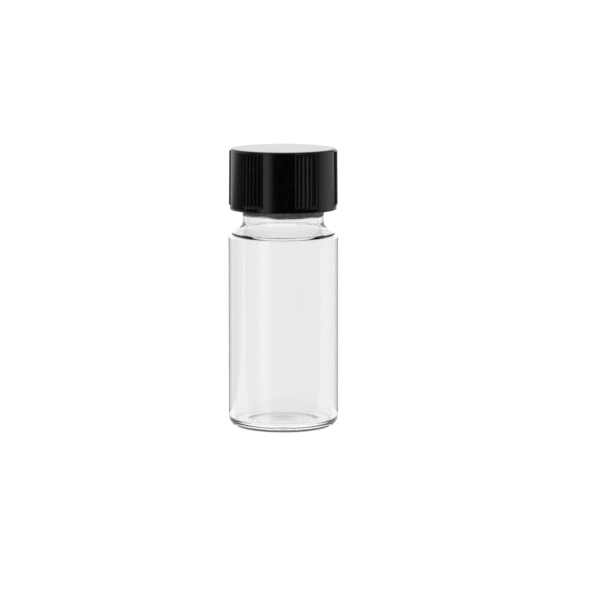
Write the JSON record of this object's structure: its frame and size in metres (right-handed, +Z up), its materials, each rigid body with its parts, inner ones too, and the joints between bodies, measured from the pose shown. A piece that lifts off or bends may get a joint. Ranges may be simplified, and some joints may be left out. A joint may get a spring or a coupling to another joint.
{
  "type": "screw-top sample vial",
  "caption": "Clear glass sample vial with a black ribbed screw cap and a cone liner, for gold flakes, nuggets or liquid samples.",
  "frame": {"origin": "on the axis, at the level that the vial stands on", "axes": "+Z up the axis, from the base to the cap; -Y is the front of the grip pattern"},
  "size_m": [0.021, 0.021, 0.0537],
  "materials": {
    "glass": "clear, fire-polished tubing glass",
    "cap": "glossy moulded black thermoset",
    "liner": "translucent natural polyethylene"
  },
  "bodies": {
    "vial": {"vial_body": "glass"},
    "liner": {"cone_liner": "liner"},
    "cap": {"cap_shell": "cap"}
  },
  "joints": [
    {"name": "cap_lift", "type": "slide", "parent": "vial", "child": "liner", "axis": [0, 0, 1], "range_m": [0, 0.01588]},
    {"name": "cap_turn", "type": "hinge", "parent": "liner", "child": "cap", "pos_m": [0, 0, 0.0479], "axis": [0, 0, 1], "range_deg": [0, 1800]}
  ],
  "couplings": [
    {"joint": "cap_lift", "follows": "cap_turn", "m_per_rad": 0.00050532}
  ]
}
